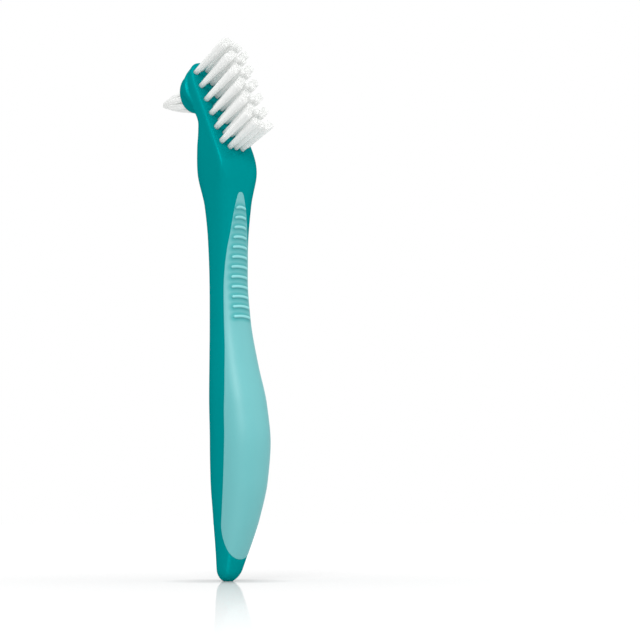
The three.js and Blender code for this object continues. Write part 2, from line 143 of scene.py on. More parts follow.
@dataclass(frozen=True)
class SmoothCurve:
    """A curve of height that runs through given values and never overshoots them.

    Each stretch is a cubic. The slope at a point is the harmonic mean of the slopes of the two
    chords beside it, and zero where they differ in sign.
    """

    heights: Array
    values: Array

    def slopes(self) -> Array:
        """Works out the curve's slope at each point.

        Returns:
            The slopes, which at the two ends are those of the last chords.
        """
        chords = np.diff(self.values) / np.diff(self.heights)
        product = chords[:-1] * chords[1:]
        total = np.where(product > 0, chords[:-1] + chords[1:], 1.0)
        inner = np.where(product > 0, 2.0 * product / total, 0.0)
        return np.concatenate([chords[:1], inner, chords[-1:]])

    def __call__(self, height: Array) -> Array:
        """Follows the cubics.

        Args:
            height: Any heights. Past an end the curve stays level.

        Returns:
            The values there.
        """
        slopes = self.slopes()
        i = np.clip(np.searchsorted(self.heights, height, side="left") - 1, 0, len(self.heights) - 2)
        span = self.heights[i + 1] - self.heights[i]
        t = np.clip((height - self.heights[i]) / span, 0.0, 1.0)
        bend = t * t * (3.0 - 2.0 * t)
        start = t * (1.0 - t) ** 2 * span * slopes[i]
        end = t * t * (t - 1.0) * span * slopes[i + 1]
        return self.values[i] * (1.0 - bend) + self.values[i + 1] * bend + start + end


# ------------------------------------------------------------------ meshes


def make_piece(name: str, points: Array, faces: Sequence[Array]) -> Piece:
    """A smooth-shaded mesh object at the origin.

    Args:
        name: The piece's name.
        points: Vertex places, one row each.
        faces: Arrays of vertex numbers, one array for each number of corners.

    Returns:
        The object, linked to the scene.
    """
    corners = np.concatenate([face.ravel() for face in faces]).astype(np.int32)
    totals = np.concatenate([np.full(len(face), face.shape[1]) for face in faces])
    starts = np.concatenate([[0], np.cumsum(totals)[:-1]]).astype(np.int32)
    mesh = bpy.data.meshes.new(name)
    mesh.vertices.add(len(points))
    mesh.vertices.foreach_set("co", points.astype(np.float32).ravel())
    mesh.loops.add(len(corners))
    mesh.loops.foreach_set("vertex_index", corners)
    mesh.polygons.add(len(totals))
    mesh.polygons.foreach_set("loop_start", starts)
    mesh.update(calc_edges=True)
    mesh.validate()
    mesh.shade_smooth()
    piece = bpy.data.objects.new(name, mesh)
    bpy.context.scene.collection.objects.link(piece)
    return piece


def set_values(piece: Piece, name: str, values: Array) -> None:
    """Gives a piece's points an attribute."""
    attribute = piece.data.attributes.new(name, "FLOAT", "POINT")
    attribute.data.foreach_set("value", values)


def ring_quads(rings: int, sides: int) -> Array:
    """Faces of a tube between closed rings of points that are numbered ring by ring.

    Args:
        rings: Number of rings.
        sides: Points of each ring.

    Returns:
        The quads, one row each.
    """
    ring = np.arange(rings - 1)[:, None] * sides
    side = np.arange(sides)[None, :]
    after = (side + 1) % sides
    quads = np.stack([ring + side, ring + after, ring + sides + after, ring + sides + side], axis=-1)
    return quads.reshape(-1, 4)


def ring_caps(rings: int, sides: int) -> Array:
    """The two faces that close such a tube, the first one turned round to face outwards."""
    ring = np.arange(sides)
    return np.stack([ring[::-1], ring + (rings - 1) * sides])


def repeat_faces(faces: Array, count: int, points: int) -> Array:
    """The faces of many equal meshes whose points follow one another, so many points to each."""
    start = np.arange(count)[:, None, None] * points
    return (faces[None] + start).reshape(-1, faces.shape[1])


def sheet_quads(rows: int, columns: int) -> Array:
    """Faces of a closed sheet: an outer grid of points, then an inner one, and the rim between.

    Args:
        rows: Rows of each grid.
        columns: Points of each row.

    Returns:
        The quads, one row each.
    """
    corner = (np.arange(rows - 1)[:, None] * columns + np.arange(columns - 1)[None, :]).ravel()
    outer = np.stack([corner, corner + 1, corner + columns + 1, corner + columns], axis=-1)
    depth = rows * columns
    inner = outer[:, ::-1] + depth
    bottom = np.arange(columns)
    right = np.arange(1, rows) * columns + columns - 1
    top = (rows - 1) * columns + np.arange(columns - 2, -1, -1)
    left = np.arange(rows - 2, 0, -1) * columns
    rim = np.concatenate([bottom, right, top, left])
    after = np.roll(rim, -1)
    edge = np.stack([rim, rim + depth, after + depth, after], axis=-1)
    return np.concatenate([outer, inner, edge])


def dress(piece: Piece, material: bpy.types.Material) -> Piece:
    """Gives a piece its material and lets it ride on the brush's one body.

    Args:
        piece: The piece.
        material: Its material.

    Returns:
        The same piece.
    """
    piece.data.materials.append(material)
    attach(piece, BODY_NAME)
    log.info("%s: %d faces", piece.name, len(piece.data.polygons))
    return piece


# ------------------------------------------------------------------ finishes


class Graph:
    """A material's or world's node tree with short calls to add and join nodes."""

    def __init__(self, tree: bpy.types.NodeTree) -> None:
        """Empties the tree."""
        self.tree = tree
        self.tree.nodes.clear()

    def add(self, kind: str, settings: dict[str, Any] | None = None, **sockets: Any) -> bpy.types.Node:
        """Adds a node.

        Args:
            kind: The node's type.
            settings: Properties of the node itself.
            **sockets: Values of input sockets, by name with underscores for spaces.

        Returns:
            The node.
        """
        node = self.tree.nodes.new(kind)
        for name, value in (settings or {}).items():
            setattr(node, name, value)
        for name, value in sockets.items():
            node.inputs[name.replace("_", " ")].default_value = value
        return node

    def join(self, source: Socket | Colour | float, target: Socket) -> None:
        """Joins a node's output to an input, or sets the input to a plain value.

        Args:
            source: The output or the value.
            target: The input.
        """
        if isinstance(source, bpy.types.NodeSocket):
            self.tree.links.new(source, target)
        else:
            target.default_value = source

    def blend(self, factor: Socket, low: Socket | Colour, high: Colour) -> Socket:
        """Mixes two colours.

        Args:
            factor: Share of the high colour, 0 to 1.
            low: The colour at 0.
            high: The colour at 1.

        Returns:
            The mixed colour.
        """
        mix = self.add("ShaderNodeMix", {"data_type": "RGBA"})
        self.join(low, mix.inputs["A"])
        self.join(high, mix.inputs["B"])
        self.join(factor, mix.inputs["Factor"])
        return mix.outputs["Result"]

    def noise(self, scale: float, octaves: float, stretch: Triple = (1.0, 1.0, 1.0)) -> Socket:
        """Noise on Object coordinates.

        Args:
            scale: Waves per metre.
            octaves: Number of finer and finer layers.
            stretch: Factors on the three axes.

        Returns:
            The noise's value, about 0.5 in the middle.
        """
        place = self.add("ShaderNodeTexCoord")
        turn = self.add("ShaderNodeMapping", Scale=stretch)
        texture = self.add("ShaderNodeTexNoise", Scale=scale, Detail=octaves, Roughness=NOISE_ROUGHNESS)
        self.join(place.outputs["Object"], turn.inputs["Vector"])
        self.join(turn.outputs["Vector"], texture.inputs["Vector"])
        return texture.outputs["Fac"]

    def ranged(self, value: Socket, low: float, high: float, reach: float = 1.0) -> Socket:
        """Maps a value evenly onto a range, and keeps it there.

        Args:
            value: The value.
            low: Result at 0.
            high: Result at the reach.
            reach: The value that gives the high result.

        Returns:
            The result.
        """
        node = self.add("ShaderNodeMapRange", From_Max=reach, To_Min=low, To_Max=high)
        self.join(value, node.inputs["Value"])
        return node.outputs["Result"]

    def clamped(self, operation: str, first: Socket, second: Socket | float) -> Socket:
        """Does a sum on two values and keeps the result within 0 to 1.

        Args:
            operation: The Math node's operation.
            first: The first value.
            second: The second value.

        Returns:
            The result.
        """
        node = self.add("ShaderNodeMath", {"operation": operation, "use_clamp": True})
        self.join(first, node.inputs[0])
        self.join(second, node.inputs[1])
        return node.outputs[0]

    def bump(self, height: Socket, distance: float, strength: float) -> Socket:
        """Bumps the surface's normal.

        Args:
            height: Height of the relief, 0 to 1.
            distance: Its height in metres at 1.
            strength: Share of the bump that is used.

        Returns:
            The normal.
        """
        node = self.add("ShaderNodeBump", Strength=strength, Distance=distance)
        self.join(height, node.inputs["Height"])
        return node.outputs["Normal"]

    def attribute(self, name: str) -> Socket:
        """Value of a point attribute."""
        return self.add("ShaderNodeAttribute", {"attribute_name": name}).outputs["Fac"]

    def seen_directly(self) -> Socket:
        """Tells rays from the camera, from a mirror or through glass from all others.

        Returns:
            1 for such rays and 0 for the rest.
        """
        path = self.add("ShaderNodeLightPath")
        first = self.clamped("MAXIMUM", path.outputs["Is Camera Ray"], path.outputs["Is Glossy Ray"])
        return self.clamped("MAXIMUM", first, path.outputs["Is Transmission Ray"])

    def finish(self, surface: Socket, kind: str = "ShaderNodeOutputMaterial") -> None:
        """Adds the output node and joins the last shader to it."""
        self.join(surface, self.add(kind).inputs["Surface"])


class Finish:
    """What all finishes share: a name, and a material whose nodes each one lays out itself."""

    name: str

    def shade(self, graph: Graph) -> Socket:
        """Lays out the nodes and hands over the last shader's output."""
        raise NotImplementedError

    def material(self) -> bpy.types.Material:
        """Builds the material.

        Returns:
            The material, a new one on each call.
        """
        material = bpy.data.materials.new(self.name)
        material.use_nodes = True
        graph = Graph(material.node_tree)
        graph.finish(self.shade(graph))
        return material


@dataclass(frozen=True)
class MouldedPlastic(Finish):
    """Polypropylene in a pigment with a trace of pearl, which gives its sheen the pigment's colour.

    It has a faint flow mottle and the slight ripple of a polished mould.
    """

    name: str = "teal polypropylene"
    light: Colour = (0.0, 0.262, 0.272, 1.0)
    deep: Colour = (0.0, 0.242, 0.252, 1.0)
    roughness_low: float = 0.22
    roughness_high: float = 0.3
    specular: float = 0.0
    pearl: float = 0.16
    pearl_tint: Colour = (0.0, 0.6, 0.6, 1.0)
    mottle_scale: float = 90.0
    mottle_stretch: Triple = (1.0, 1.0, 0.25)
    ripple_scale: float = 700.0
    ripple_height: float = 0.012 * MM
    ripple_strength: float = 1.0

    def shade(self, graph: Graph) -> Socket:
        """Lays out the nodes: the mottle moves tone and gloss, and the ripple bumps the surface.

        Args:
            graph: The material's empty graph.

        Returns:
            The shader's output.
        """
        shader = graph.add(
            "ShaderNodeBsdfPrincipled",
            Specular_IOR_Level=self.specular,
            Specular_Tint=self.pearl_tint,
            Metallic=self.pearl,
        )
        mottle = graph.noise(self.mottle_scale, BROAD_OCTAVES, self.mottle_stretch)
        graph.join(graph.blend(mottle, self.deep, self.light), shader.inputs["Base Color"])
        graph.join(graph.ranged(mottle, self.roughness_low, self.roughness_high), shader.inputs["Roughness"])
        ripple = graph.noise(self.ripple_scale, FINE_OCTAVES)
        graph.join(graph.bump(ripple, self.ripple_height, self.ripple_strength), shader.inputs["Normal"])
        return shader.outputs["BSDF"]


@dataclass(frozen=True)
class SoftRubber(Finish):
    """Satin thermoplastic rubber: a fine even grain from the mould and a soft mottle.

    The painted rib light attribute is 0 on the plain surface, runs to -1 in the troughs between the ribs,
    where a painted shade deepens the rubber, and to +1 on the ribs' thin crests, which get a painted
    highlight.
    """

    name: str = "aqua rubber"
    light: Colour = (0.112, 0.445, 0.46, 1.0)
    deep: Colour = (0.092, 0.415, 0.43, 1.0)
    painted_crest_highlight: Colour = (0.22, 0.63, 0.64, 1.0)
    painted_trough_shade: Colour = (0.01, 0.34, 0.35, 1.0)
    roughness_low: float = 0.42
    roughness_high: float = 0.52
    specular: float = 0.9
    mottle_scale: float = 70.0
    mottle_stretch: Triple = (1.0, 1.0, 0.4)
    grain_scale: float = 3200.0
    grain_height: float = 0.02 * MM
    grain_strength: float = 0.6

    def shade(self, graph: Graph) -> Socket:
        """Lays out the nodes: the mottle and the painted rib light give the tone, and the grain gloss and
        bump.

        Args:
            graph: The material's empty graph.

        Returns:
            The shader's output.
        """
        shader = graph.add("ShaderNodeBsdfPrincipled", Specular_IOR_Level=self.specular)
        mottle = graph.noise(self.mottle_scale, BROAD_OCTAVES, self.mottle_stretch)
        tone = graph.blend(mottle, self.deep, self.light)
        relief = graph.attribute(PAINTED_RIB_LIGHT)
        # Painted shade deepens the troughs between the ribs, and a painted highlight pales their crests.
        for side, colour in ((-1.0, self.painted_trough_shade), (1.0, self.painted_crest_highlight)):
            tone = graph.blend(graph.clamped("MULTIPLY", relief, side), tone, colour)
        graph.join(tone, shader.inputs["Base Color"])
        grain = graph.noise(self.grain_scale, FINE_OCTAVES)
        graph.join(graph.ranged(grain, self.roughness_low, self.roughness_high), shader.inputs["Roughness"])
        graph.join(graph.bump(grain, self.grain_height, self.grain_strength), shader.inputs["Normal"])
        return shader.outputs["BSDF"]


@dataclass(frozen=True)
class NylonFilament(Finish):
    """White nylon: each filament has its own faint tone, and a painted glow stands in for light wandering
    through.
    """

    name: str = "white nylon"
    light: Colour = (0.82, 0.825, 0.815, 1.0)
    deep: Colour = (0.795, 0.805, 0.795, 1.0)
    roughness: float = 0.4
    specular: float = 0.3
    painted_glow: float = 0.14

    def shade(self, graph: Graph) -> Socket:
        """Lays out the nodes: the filament's tone picks its colour.

        Args:
            graph: The material's empty graph.

        Returns:
            The shader's output.
        """
        shader = graph.add(
            "ShaderNodeBsdfPrincipled",
            Specular_IOR_Level=self.specular,
            Roughness=self.roughness,
            # The emission is a painted glow: the nylon lights itself a little, so its shaded sides stay
            # pale.
            Emission_Color=self.light,
            Emission_Strength=self.painted_glow,
        )
        graph.join(graph.blend(graph.attribute(TONE), self.deep, self.light), shader.inputs["Base Color"])
        return shader.outputs["BSDF"]


@dataclass(frozen=True)
class DrawnStrip(Finish):
    """Nickel silver strip: a warm bare metal with fine lines from the drawing die."""

    name: str = "drawn nickel silver"
    light: Colour = (0.8, 0.76, 0.68, 1.0)
    deep: Colour = (0.7, 0.66, 0.58, 1.0)
    roughness_low: float = 0.25
    roughness_high: float = 0.42
    line_scale: float = 5000.0
    line_stretch: Triple = (0.05, 1.0, 1.0)

    def shade(self, graph: Graph) -> Socket:
        """Lays out the nodes: the lines move tone and gloss.

        Args:
            graph: The material's empty graph.

        Returns:
            The shader's output.
        """
        shader = graph.add("ShaderNodeBsdfPrincipled", Metallic=1.0)
        lines = graph.noise(self.line_scale, FINE_OCTAVES, self.line_stretch)
        graph.join(graph.blend(lines, self.deep, self.light), shader.inputs["Base Color"])
        graph.join(graph.ranged(lines, self.roughness_low, self.roughness_high), shader.inputs["Roughness"])
        return shader.outputs["BSDF"]


@dataclass(frozen=True)
class WhiteFloor(Finish):
    """Matt white under a gloss that fades away from the foot.

    The lift makes up what the matt white lacks. Only direct views have it, so it lights nothing,
    and it is held back round the foot, which paints a darker shadow there over the brush's real one.
    """

    name: str = "white floor"
    colour: Colour = (0.7, 0.7, 0.7, 1.0)
    lift: float = 0.33
    painted_shadow_lift: float = -0.2
    painted_shadow_reach: float = 22 * MM
    gloss: float = 0.52
    gloss_far: float = 0.03
    gloss_reach: float = 300 * MM
    gloss_roughness: float = 0.05

    def shade(self, graph: Graph) -> Socket:
        """Lays out the nodes: lift and gloss go evenly with the distance from the origin.

        Args:
            graph: The material's empty graph.

        Returns:
            The shader's output.
        """
        away = graph.add("ShaderNodeVectorMath", {"operation": "LENGTH"})
        graph.join(graph.add("ShaderNodeTexCoord").outputs["Object"], away.inputs[0])
        distance = away.outputs["Value"]
        matt = graph.add("ShaderNodeBsdfDiffuse", Color=self.colour)
        lift = graph.add("ShaderNodeEmission", Color=WHITE)
        # Near the foot the lift falls to nothing: a painted contact shadow over the real one.
        strength = graph.ranged(distance, self.painted_shadow_lift, self.lift, self.painted_shadow_reach)
        graph.join(graph.clamped("MULTIPLY", strength, graph.seen_directly()), lift.inputs["Strength"])
        lifted = graph.add("ShaderNodeAddShader")
        graph.join(matt.outputs[0], lifted.inputs[0])
        graph.join(lift.outputs[0], lifted.inputs[1])
        gloss = graph.add("ShaderNodeBsdfAnisotropic", Roughness=self.gloss_roughness)
        mix = graph.add("ShaderNodeMixShader")
        graph.join(graph.ranged(distance, self.gloss, self.gloss_far, self.gloss_reach), mix.inputs["Fac"])
        graph.join(lifted.outputs[0], mix.inputs[1])
        graph.join(gloss.outputs[0], mix.inputs[2])
        return mix.outputs[0]


# ------------------------------------------------------------------ the rigid moulding


@dataclass(frozen=True)
class Section:
    """A level section of the moulding, in shares of its four main sizes."""

    name: str
    up: float
    width: float
    front: float
    back: float
    boxy_front: float
    boxy_back: float


SECTIONS = (
    Section("foot", 0, 0.395, 0.195, 0.149, 2.3, 2.3),
    Section("toe", 0.0461, 0.57, 0.416, 0.149, 2.3, 2.3),
    Section("heel of palm", 0.1153, 0.791, 0.74, 0.178, 2.3, 2.3),
    Section("lower belly", 0.1845, 0.93, 0.942, 0.213, 2.4, 2.4),
    Section("belly", 0.2537, 1, 1, 0.218, 2.4, 2.4),
    Section("upper belly", 0.323, 0.977, 0.89, 0.243, 2.4, 2.4),
    Section("flank", 0.4037, 0.86, 0.623, 0.267, 2.4, 2.4),
    Section("lower waist", 0.4844, 0.744, 0.409, 0.287, 2.5, 2.5),
    Section("waist", 0.5652, 0.698, 0.312, 0.307, 2.6, 2.6),
    Section("thumb rest", 0.6344, 0.721, 0.305, 0.332, 2.8, 2.8),
    Section("neck", 0.7036, 0.814, 0.325, 0.386, 3.4, 3),
    Section("shoulder", 0.7728, 0.953, 0.37, 0.53, 5, 4),
    Section("head root", 0.8189, 0.988, 0.39, 0.48, 6, 4.6),
    Section("head back", 0.8651, 0.977, 0.39, 0.431, 6, 3.6),
    Section("under boss", 0.9, 0.965, 0.39, 0.584, 6, 3.6),
    Section("boss level", 0.9418, 0.955, 0.39, 0.792, 6, 4),
    Section("over boss", 0.9689, 0.86, 0.39, 0.787, 5.5, 2.8),
    Section("crown", 0.989, 0.605, 0.39, 0.757, 4, 2.2),
    Section("top", 1, 0.302, 0.39, 0.762, 2.6, 2.2),
)


@dataclass
class Moulding:
    """Outer surface of the rigid moulding: a stack of level superellipses.

    A point is given by its height and by its polar angle round the section, from dead front
    towards +X. The front and the back half of a section have their own depth and boxiness.
    """

    length: float
    width: float
    belly_front: float
    boss_back: float
    toe_round: float = 3.6 * MM
    foot_flat_share: float = 0.5
    foot_edge: float = 0.5 * MM
    foot_edge_share: float = 0.12
    top_edge: float = 0.8 * MM
    top_flat_share: float = 0.55
    face_tilt: float = math.radians(27.5)
    face_top_back: float = 14.24 * MM
    face_datum_above_top: float = 0.56 * MM
    shoulder_round: float = 1.1 * MM
    head_plate: float = 4 * MM
    boss_radius: float = 7.3 * MM
    boss_below_top: float = 10.2 * MM
    boss_boxiness: float = 4.5
    boss_blend: float = 4.6
    boss_flank: float = 0.9 * MM
    curves: dict[str, SmoothCurve] = field(init=False)

    def __post_init__(self) -> None:
        """Runs a smooth curve of height through each size of the sections."""
        heights = np.array([section.up for section in SECTIONS]) * self.length
        factors = {
            "width": self.width,
            "front": self.belly_front,
            "back": self.boss_back,
            "boxy_front": 1.0,
            "boxy_back": 1.0,
        }
        self.curves = {
            key: SmoothCurve(heights, np.array([getattr(section, key) for section in SECTIONS]) * factor)
            for key, factor in factors.items()
        }

    @classmethod
    def from_frame(cls) -> Moulding:
        """Takes the four main sizes off the CAD solids.

        Returns:
            The moulding.
        """
        low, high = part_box("handle_body")
        grip_low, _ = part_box("front_grip")
        return cls(length=high.z, width=high.x - low.x, belly_front=-grip_low.y, boss_back=high.y)

    def height_of(self, name: str) -> float:
        """Height of a named section."""
        return next(section.up for section in SECTIONS if section.name == name) * self.length

    def face_y(self, height: Array) -> Array:
        """Y of the leaning bristle face: a straight line down from its datum above the top."""
        datum = self.length + self.face_datum_above_top
        return self.face_top_back - (datum - height) * math.tan(self.face_tilt)

    def front(self, height: Array) -> Array:
        """Y of the front. The neck's front turns softly into the face: -f + r log(1 + e^(overlap / r)).

        Args:
            height: Heights above the foot.

        Returns:
            The places.
        """
        front = self.curves["front"](height)
        overlap = self.face_y(height) + front
        return -front + self.shoulder_round * np.logaddexp(0.0, overlap / self.shoulder_round)

    def widest(self, height: Array) -> Array:
        """Y of the widest line: midway in the handle, a plate's thickness behind the face in the head.

        Args:
            height: Heights above the foot.

        Returns:
            The places.
        """
        front, back = self.front(height), self.curves["back"](height)
        plate = front + np.minimum((back - front) / 2.0, self.head_plate)
        head = smooth_step(self.height_of("neck"), self.height_of("shoulder"), height)
        return (1.0 - head) * (front + back) / 2.0 + head * plate

    def shrink(self, height: Array) -> Array:
        """Share of the section's size that the rounded toe and top leave: the square root of 1 - k t^2.

        The share k leaves the flat at the very end, where t is 1, and a narrow extra share, which
        dies away upwards, rounds the edge of the foot's flat.

        Args:
            height: Heights above the foot.

        Returns:
            The shares.
        """
        toe = 1.0 - np.minimum(height / self.toe_round, 1.0)
        top = 1.0 - np.minimum((self.length - height) / self.top_edge, 1.0)
        rounded = np.sqrt(1.0 - (1.0 - self.foot_flat_share**2) * toe * toe)
        rounded *= np.sqrt(1.0 - (1.0 - self.top_flat_share**2) * top * top)
        return rounded * (1.0 - self.foot_edge_share * np.exp(-height / self.foot_edge))

    def boss_reach(self, height: Array, across: Array, along: Array) -> Array:
        """How many times further out than the head plate the surface lies, where the boss swells it.

        A level slice of the boss is |x / w|^m + |y / d|^m = 1 with w = sqrt(R^2 - h^2) and
        d = D (1 - |h / R|^m)^(1/m), at h from its axis. A ray through a point of the plate meets
        it at k times that point. The boss and the plate run into each other as (1 + k^p)^(1/p),
        and what that adds grows from nothing at the widest line to its whole over the flank.

        Args:
            height: Heights of the plate's points.
            across: Their distance from the middle.
            along: Their distance behind the widest line.

        Returns:
            Factors of at least 1.
        """
        off = np.minimum(np.abs(height - self.length + self.boss_below_top) / self.boss_radius, 1.0)
        power = self.boss_boxiness
        half = self.boss_radius * np.sqrt(1.0 - off**2) + TINY
        depth = (self.boss_back - self.widest(height)) * (1.0 - off**power) ** (1.0 / power) + TINY
        ratio = ray_length(across / half, along / depth, power)
        swell = (1.0 + ratio**self.boss_blend) ** (1.0 / self.boss_blend) - 1.0
        return 1.0 + swell * smooth_step(0.0, self.boss_flank, along)

    def points(self, height: Array, angle: Array, inset: Array | float = 0.0) -> Array:
        """Points of the surface, or of one that lies inside it.

        Each half section is |x / a|^n + |y / b|^n = 1, met at r = (|sin|^n + |cos|^n)^(-1/n).

        Args:
            height: Heights above the foot.
            angle: Polar angles from dead front, in the section scaled to a unit square.
            inset: How far inside the surface, or outside it where negative.

        Returns:
            The points, with the last axis X, Y, Z.
        """
        height, angle = np.broadcast_arrays(height, angle)
        sine, cosine = np.sin(angle), np.cos(angle)
        faces_front = cosine > 0
        power = np.where(faces_front, self.curves["boxy_front"](height), self.curves["boxy_back"](height))
        radius = ray_length(sine, cosine, power)
        front, back, widest = self.front(height), self.curves["back"](height), self.widest(height)
        reach = np.where(faces_front, widest - front, back - widest)
        half = self.curves["width"](height) / 2.0
        shrink = self.shrink(height)
        across = (half * shrink - inset) * radius * sine
        along = (reach * shrink - inset) * radius * cosine
        swell = np.where(faces_front, 1.0, self.boss_reach(height, across, -along))
        return np.stack([across * swell, widest - along * swell, height], axis=-1)

    def polar(self, height: Array, turn: Array) -> Array:
        """Polar angle of the point at a turn t, where x and y are a sin^(2/n) t and b cos^(2/n) t."""
        power = 2.0 / self.curves["boxy_front"](height)
        return np.arctan2(np.sin(turn) ** power, np.cos(turn) ** power)


# ------------------------------------------------------------------ the grip's outline


@dataclass
class GripOutline:
    """Edge of the soft grip on the moulding's front, symmetric about the middle.

    Ups are shares of the way from its lower to its upper end, and turns are the edge's turns
    round the section there, in degrees from dead front.
    """

    moulding: Moulding
    bottom: float
    top: float
    bottom_round: float = 11 * MM
    top_round: float = 1.2 * MM
    ups: tuple[float, ...] = (
        0.092, 0.26, 0.377, 0.477, 0.578, 0.729, 0.787, 0.838, 0.884, 0.921, 0.963, 0.985, 1,
    )
    turns: tuple[float, ...] = (88, 83, 80, 72, 63, 57.5, 52, 42, 28.5, 19, 8.3, 3.4, 0.9)

    @classmethod
    def from_frame(cls, moulding: Moulding) -> GripOutline:
        """Takes the grip's lower and upper end off its CAD solid."""
        low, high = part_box("front_grip")
        return cls(moulding, bottom=low.z, top=high.z)

    def edge(self, height: Array) -> Array:
        """Polar angle of the edge: a smooth curve of height, rounded off like an ellipse at both ends.

        Args:
            height: Heights above the foot.

        Returns:
            The angles, 0 past both ends.
        """
        heights = self.bottom + np.array(self.ups) * (self.top - self.bottom)
        turn = np.radians(SmoothCurve(heights, np.array(self.turns))(height))
        into_bottom = np.clip((self.bottom + self.bottom_round - height) / self.bottom_round, 0.0, 1.0)
        into_top = np.clip((height - self.top + self.top_round) / self.top_round, 0.0, 1.0)
        turn = turn * np.sqrt(1.0 - into_bottom**2) * np.sqrt(1.0 - into_top**2)
        return self.moulding.polar(height, turn)

    def half_width(self, height: Array) -> Array:
        """Straight distance from the grip's middle line to its edge.

        Args:
            height: Heights above the foot.

        Returns:
            The distances.
        """
        edge = self.moulding.points(height, self.edge(height))
        middle = self.moulding.points(height, np.zeros_like(height))
        return np.linalg.norm(edge - middle, axis=-1)

    def distance_inside(self, height: Array, share: Array) -> Array:
        """Distance from a point of the grip to its nearest edge.

        Across, it is (1 - share) times the half width, shortened by the edge's slope, and it is
        never more than the distance to either end.

        Args:
            height: Heights of the points.
            share: Their polar angles as shares of the edge's, at least 0.

        Returns:
            The distances, negative outside the grip.
        """
        step = 0.05 * MM
        width = self.half_width(height)
        slope = (self.half_width(height + step) - self.half_width(height - step)) / (2.0 * step)
        across = (1.0 - share) * width / np.sqrt(1.0 + slope**2)
        return np.minimum(across, np.minimum(height - self.bottom, self.top - height))


# ------------------------------------------------------------------ tufts


@dataclass(frozen=True)
class TuftAxis:
    """Where one tuft stands: from its root at the surface, along a direction, to its trimmed end."""

    node: str
    root: Array
    direction: Array
    length: float

    @classmethod
    def from_node(cls, node: Piece, inside: Array, buried: float) -> TuftAxis:
        """Reads a tuft's axis off its CAD solid, between the middles of its two end faces.

        Args:
            node: The tuft's CAD node.
            inside: A point inside the head, which tells the root end from the tip.
            buried: Depth of the tuft's foot in its hole.

        Returns:
            The axis.
        """
        points = np.zeros(len(node.data.vertices) * 3)
        node.data.vertices.foreach_get("co", points)
        points = np.unique(np.round(points.reshape(-1, 3), MERGE_DECIMALS), axis=0)
        centre = points.mean(axis=0)
        direction = np.linalg.svd(points - centre)[2][0]
        reach = (points - centre) @ direction
        near = points[reach < reach.min() + END_FACE_DEPTH].mean(axis=0)
        far = points[reach > reach.max() - END_FACE_DEPTH].mean(axis=0)
        if np.linalg.norm(near - inside) > np.linalg.norm(far - inside):
            near, far = far, near
        whole = np.linalg.norm(far - near)
        direction = (far - near) / whole
        return cls(node.name, near + direction * buried, direction, whole - buried)

    def across(self) -> tuple[Array, Array]:
        """Finds two directions square to the axis.

        Returns:
            Unit vectors, the first one level.
        """
        first = np.cross(self.direction, [0.0, 0.0, 1.0])
        first /= np.linalg.norm(first)
        return first, np.cross(self.direction, first)


